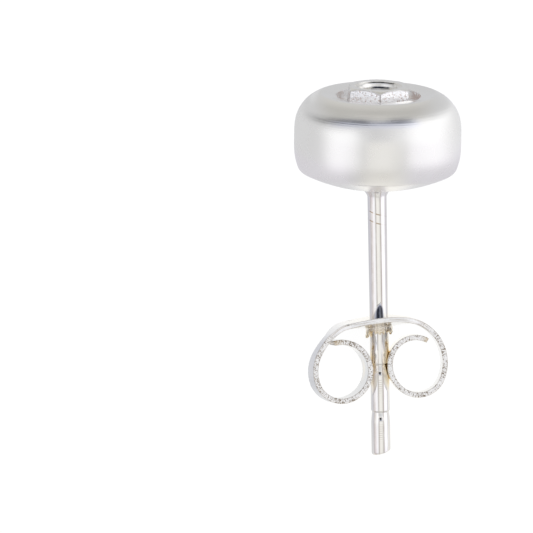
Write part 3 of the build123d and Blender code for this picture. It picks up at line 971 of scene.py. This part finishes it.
ROUND = 0.032
OUTSIDE_ROWS, PATCH_ROWS, ACROSS = 7, 22, 6
k_hole = PATCH / (PLATE_W / 2 - ROUND)
row_k = np.r_[
    np.linspace(-1, -k_hole, OUTSIDE_ROWS + 1)[:-1],
    np.linspace(-k_hole, k_hole, PATCH_ROWS + 1),
    np.linspace(k_hole, 1, OUTSIDE_ROWS + 1)[1:],
]
ROWS = len(row_k)
row_a, row_b = OUTSIDE_ROWS, OUTSIDE_ROWS + PATCH_ROWS

# One loop round the section: outer face upwards, top edge, inner face down, bottom edge
loop = [("face", k, STRIP_T / 2) for k in row_k]


def edge_loop(kind, order):
    out = [(kind, ROUND * (1 - sin(radians(a))), STRIP_T / 2 - ROUND * (1 - cos(radians(a)))) for a in (20, 45, 70)]
    out += [(kind, 0.0, (STRIP_T / 2 - ROUND) * k) for k in np.linspace(1, -1, ACROSS + 1)]
    out += [(kind, a, -w) for kind, a, w in out[2::-1]]
    return out if order > 0 else [(kind, a, -w) for kind, a, w in out]


loop += edge_loop("high", 1)
inner_start = len(loop)
loop += [("face", k, -STRIP_T / 2) for k in row_k[::-1]]
loop += edge_loop("low", -1)
LOOP = len(loop)
LOOP_W = np.array([w for _, _, w in loop])


def section(s, half_w, shrink=0.0):
    """The loop's points at one place along the strip; shrink rounds its free ends."""
    v = np.empty(LOOP)
    for i, (kind, a, _) in enumerate(loop):
        if kind == "face":
            v[i] = PLATE_MID + a * (half_w - ROUND)
        else:
            v[i] = PLATE_MID + (half_w - a) * (1 if kind == "high" else -1)
    v = PLATE_MID + (v - PLATE_MID) * (1 - shrink / half_w)
    w = LOOP_W * (1 - shrink / (STRIP_T / 2))
    return place(np.full(LOOP, s), v, w)


stations = [(LINE_S[0] + 0.004, half[0], 0.026), (LINE_S[0] + 0.012, half[0], 0.010)]
stations += [(s, h, 0.0) for s, h in zip(S, half)]
stations += [(LINE_S[-1] - 0.012, half[-1], 0.010), (LINE_S[-1] - 0.004, half[-1], 0.026)]
PAD = 2
columns = len(stations)
clutch_verts = np.array([section(*x) for x in stations]).reshape(-1, 3)
edge_flag = np.array([0.0 if kind == "face" else (0.75 if a > 0.012 else 1.0) for kind, a, w in loop])
sheared = np.tile(edge_flag, columns)
sheared[: LOOP * PAD] = 1.0
sheared[-LOOP * PAD :] = 1.0
along = np.repeat([x[0] for x in stations], LOOP)
across = np.tile(LOOP_W, columns)
# The free ends are torn and tanned
burr = np.repeat(
    [0.9 * max(float(smooth(LINE_S[0] + 0.45, LINE_S[0] + 0.05, x[0])), float(smooth(LINE_S[-1] - 0.35, LINE_S[-1] - 0.03, x[0]))) for x in stations],
    LOOP,
) * np.tile(edge_flag, columns)
burr = burr.copy()


def vid(column, j):
    return (column + PAD) * LOOP + j % LOOP


clutch_faces = []
inner_a, inner_b = inner_start + (ROWS - 1 - row_b), inner_start + (ROWS - 1 - row_a)
for c in range(-PAD, columns - PAD - 1):
    for j in range(LOOP):
        if first_patch <= c < last_patch and (row_a <= j < row_b or inner_a <= j < inner_b):
            continue
        clutch_faces.append((vid(c, j), vid(c, j + 1), vid(c + 1, j + 1), vid(c + 1, j)))
for c, flip in ((-PAD, False), (columns - PAD - 1, True)):
    ids = [vid(c, j) for j in range(LOOP)]
    middle = len(clutch_verts)
    clutch_verts = np.vstack([clutch_verts, [clutch_verts[ids].mean(0)]])
    sheared, burr = np.r_[sheared, 1.0], np.r_[burr, 0.8]
    along, across = np.r_[along, stations[0 if not flip else -1][0]], np.r_[across, 0.0]
    for j in range(LOOP):
        f = (middle, ids[(j + 1) % LOOP], ids[j])
        clutch_faces.append(f[::-1] if flip else f)

# The pierced hole: both faces run in to it, and it is drawn out behind into a torn collar
boundary = [(c, row_a) for c in range(first_patch, last_patch)]
boundary += [(last_patch, j) for j in range(row_a, row_b)]
boundary += [(c, row_b) for c in range(last_patch, first_patch, -1)]
boundary += [(first_patch, j) for j in range(row_b, row_a, -1)]
around = np.array([(S[c], PLATE_MID + row_k[j] * (PLATE_W / 2 - ROUND)) for c, j in boundary])
angle = np.arctan2(around[:, 1] - PLATE_MID, around[:, 0])
ca, sa = np.cos(angle), np.sin(angle)
out_ids = [vid(c, j) for c, j in boundary]
in_ids = [vid(c, inner_start + ROWS - 1 - j) for c, j in boundary]
B = len(boundary)
one = np.ones(B)


def surface_ring(r, w, mix):
    """Between the patch's border (mix 0) and a circle of radius r (mix 1), on one face."""
    s = around[:, 0] * (1 - mix) + r * ca * mix
    v = around[:, 1] * (1 - mix) + (PLATE_MID + r * sa) * mix
    return place(s, v, w)


def tube_ring(r, t):
    return HOLE + (r * ca)[:, None] * RIGHT + (r * sa)[:, None] * POST_UP + t[:, None] * TAIL


def along_tail(points):
    return (points - HOLE) @ TAIL


hole_rings = []  # outer face, through the hole, round the torn lip, back to the inner face
mouth_r = 0.56
for mix in (0.25, 0.5, 0.72, 0.88, 1.0):
    hole_rings.append((surface_ring(mouth_r, STRIP_T / 2, mix), 0.0))
t0 = along_tail(hole_rings[-1][0])
for a in (18, 36, 54, 72, 90):
    b = radians(a)
    hole_rings.append((tube_ring((mouth_r - (mouth_r - PASSAGE_R) * sin(b)) * one, t0 + 0.11 * (1 - cos(b))), 0.2))


def torn(angle_):
    """How far the torn collar reaches behind the plate's middle in each direction."""
    deg = np.degrees(angle_) % 360
    reach = np.full(len(deg), 0.42)
    for centre, span, length in ((4, 74, 0.56), (88, 66, 0.52), (178, 72, 0.76), (268, 66, 0.64)):
        d = np.abs((deg - centre + 180) % 360 - 180) / (span / 2)
        reach = np.maximum(reach, 0.40 + (length - 0.40) * (1 - smooth(0.62, 1.08, d)))
    reach += 0.035 * np.sin(deg * 0.31) + 0.028 * np.sin(deg * 0.83 + 1.0) + 0.02 * np.sin(deg * 1.9 + 0.5)
    return reach


lip_t = torn(angle)
flare = 0.055 * np.clip(lip_t - 0.3, 0, 1) / 0.4
ragged = 0.016 * np.sin(np.degrees(angle) * 0.47 + 2) + 0.012 * np.sin(np.degrees(angle) * 1.31)
base_t = t0 + 0.11
for k in (0.25, 0.5, 0.75, 0.9, 1.0):
    hole_rings.append((tube_ring(PASSAGE_R + flare * k**2, base_t * (1 - k) + (lip_t - 0.02) * k), min(1.0, 0.3 + k)))
thick = 0.075 + ragged * 0.8
hole_rings.append((tube_ring(PASSAGE_R + flare + 0.02, lip_t), 1.0))
hole_rings.append((tube_ring(PASSAGE_R + flare + thick - 0.02, lip_t - 0.004), 1.0))
inner_t = along_tail(surface_ring(0.70, -STRIP_T / 2, 1.0))
for k, extra in ((0.0, 0.0), (0.2, 0.018), (0.4, -0.006), (0.6, 0.024), (0.8, 0.012), (1.0, 0.02)):
    t = (lip_t - 0.02) * (1 - k) + (inner_t + 0.06) * k
    r = PASSAGE_R + flare * (1 - k) ** 2 + thick * (1 - k) + 0.125 * k + extra * (1 + ragged * 20) * (1 - k * 0.6)
    hole_rings.append((tube_ring(r, t), 1.0 - 0.5 * k))
for a in (25, 50, 75):
    b = radians(a)
    hole_rings.append((tube_ring((0.57 + 0.13 * (1 - cos(b))) * one, inner_t + 0.06 * (1 - sin(b))), 0.3))
for mix in (1.0, 0.85, 0.6, 0.3):
    hole_rings.append((surface_ring(0.72, -STRIP_T / 2, mix), 0.0))

ring_ids = [out_ids]
for number, (points, mark) in enumerate(hole_rings):
    start_id = len(clutch_verts)
    clutch_verts = np.vstack([clutch_verts, points])
    sheared = np.r_[sheared, np.zeros(B)]
    burr = np.r_[burr, np.full(B, mark)]
    along = np.r_[along, angle * 0.5]
    on_face = STRIP_T / 2 if number < 5 else (-STRIP_T / 2 if number >= len(hole_rings) - 4 else 0.0)
    across = np.r_[across, np.full(B, on_face)]
    ring_ids.append(list(range(start_id, start_id + B)))
ring_ids.append(in_ids)
for a, b in zip(ring_ids[:-1], ring_ids[1:]):
    for j in range(B):
        k = (j + 1) % B
        clutch_faces.append((a[j], b[j], b[k], a[k]))

# The post has pressed its own shape into the sides of the scrolls
t = (clutch_verts - HOLE) @ TAIL
axis_point = HOLE + t[:, None] * TAIL
out_dir = clutch_verts - axis_point
dist = np.linalg.norm(out_dir, axis=1)
touching = (dist < 0.412) & (t > 0.75)
clutch_verts[touching] = axis_point[touching] + out_dir[touching] / dist[touching][:, None] * 0.412

# Sheared edges: small ridges across the thickness and chipped arrises
marked = np.where(sheared > 0.5)[0]
at_edge = clutch_verts[marked]
wobble = fbm(at_edge, 7.0, 3, 1.3) * 0.010 + fbm(at_edge, 19.0, 2, 5.2) * 0.007
side_wobble = fbm(at_edge, 9.0, 2, 11.0) * 0.005
height = at_edge[:, 2] - PLATE_MID
clutch_verts[marked, 2] += np.where(np.abs(height) > 0.5, np.sign(height) * (wobble - 0.008), 0)
clutch_verts[marked, 0] += side_wobble
clutch_verts[marked, 1] += side_wobble * 0.7
clutch_verts[:, 2] = np.clip(clutch_verts[:, 2], 0.0, PLATE_W)

# A painted golden reflection where the scrolls face the post, and the plate's cleaner edge
t = (clutch_verts - HOLE) @ TAIL
dist = np.linalg.norm(clutch_verts - HOLE - t[:, None] * TAIL, axis=1)
painted_golden_reflection = (1 - smooth(0.42, 0.85, dist)) * smooth(0.35, 0.6, t) * 0.95
# Painted shade on the drawn-in face over the hole, darkest in a lobe reaching up from it
aside, over = clutch_verts[:, 0] - HOLE[0], clutch_verts[:, 2] - PLATE_MID
rho = np.hypot(aside, over)
lobe = np.exp(-((np.arctan2(np.abs(aside), over) / radians(30)) ** 2)) * (1 - smooth(1.3, 1.84, rho))
shade = np.maximum(lobe, 0.45 * (1 - smooth(0.5, 1.0, rho))) * smooth(0.085, 0.10, across) * (t < 0.3) * (burr < 0.1)
cleaner = 1 - smooth(1.9, 2.7, np.abs(along))
nick = np.exp(-(((along + 1.39) / 0.035) ** 2)) * smooth(0.02, 0.09, across) * (clutch_verts[:, 2] > 3.4)
clutch_verts[:, 1] += nick * 0.045

clutch = make_object(
    "clutch_strip", clutch_verts, clutch_faces, [strip_silver()], np.zeros(len(clutch_faces)),
    {
        "sheared": sheared, "burr": burr, "along": along, "across": across,
        "tan": painted_golden_reflection, "plate": cleaner, "nick": nick, "shade": shade,
    },
)

for obj, body, node, slot in (
    (stud, "stud", "stud", "polished_silver"),
    (clutch, "clutch", "clutch", "clutch_silver"),
):
    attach(obj, body)
    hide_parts(node)

# ---------------------------------------------------------------- pale surface

mesh = bpy.data.meshes.new("surface")
reach = 6.0
mesh.from_pydata(
    [(-reach, -reach, 0), (reach, -reach, 0), (reach, reach, 0), (-reach, reach, 0)], [], [(0, 1, 2, 3)]
)
surface = bpy.data.objects.new("surface", mesh)
bpy.context.scene.collection.objects.link(surface)
m, tree, shader = new_material("pale_surface", 0.0)
shader.inputs["Base Color"].default_value = (0.14, 0.14, 0.14, 1.0)
shader.inputs["Roughness"].default_value = 1.0
shader.inputs["Specular IOR Level"].default_value = 0.0
shader.inputs["Emission Color"].default_value = (1.0, 1.0, 1.0, 1.0)
shader.inputs["Emission Strength"].default_value = 0.935
# Lit from underneath, and evenly; silver sees the studio's light carried on in it
where = tree.nodes.new("ShaderNodeNewGeometry")
px, py, pz = split_vector(tree, where.outputs["Position"])
dx, dy = px - WIDEST[0] * MM, py - WIDEST[1] * MM
dz = pz - WIDEST[2] * MM
length = (dx * dx + dy * dy + dz * dz).op("SQRT")
colour, light = studio_light(tree, dx / length, dy / length, dz / length)
glow = tree.nodes.new("ShaderNodeEmission")
tree.links.new(colour.out, glow.inputs["Color"])
tree.links.new(light.out, glow.inputs["Strength"])
path = tree.nodes.new("ShaderNodeLightPath")
choose = tree.nodes.new("ShaderNodeMixShader")
tree.links.new(path.outputs["Is Camera Ray"], choose.inputs["Fac"])
tree.links.new(glow.outputs[0], choose.inputs[1])
tree.links.new(shader.outputs[0], choose.inputs[2])
tree.links.new(choose.outputs[0], tree.nodes["Material Output"].inputs["Surface"])
mesh.materials.append(m)

# ---------------------------------------------------------------- camera

# Straight down on the stud, its head at the top and to the right of the middle
PIXELS = 533
SCALE = 24.04  # pixels to the millimetre at the wheel's middle
LENS, SENSOR = 800.0, 36.0
distance = LENS / SENSOR * PIXELS / SCALE
roll = radians(1.03)
wheel_px = np.array([377.9, 125.77])  # where the wheel's middle shows
shift = (PIXELS / 2 - wheel_px) / SCALE
right_dir = np.array([-cos(roll), sin(roll), 0.0])
down_dir = np.array([sin(roll), cos(roll), 0.0])
spot = WIDEST + right_dir * shift[0] + down_dir * shift[1]
eye = np.array([spot[0], spot[1], WIDEST[2] + distance]) * MM

camera_data = bpy.data.cameras.new("camera")
camera_data.lens, camera_data.sensor_width = LENS, SENSOR
camera_data.clip_start, camera_data.clip_end = 0.01, 10.0
camera = bpy.data.objects.new("camera", camera_data)
bpy.context.scene.collection.objects.link(camera)
basis = Matrix((
    (right_dir[0], -down_dir[0], 0.0),
    (right_dir[1], -down_dir[1], 0.0),
    (0.0, 0.0, 1.0),
))
camera.matrix_world = Matrix.Translation(Vector(eye)) @ basis.to_4x4()
bpy.context.scene.camera = camera
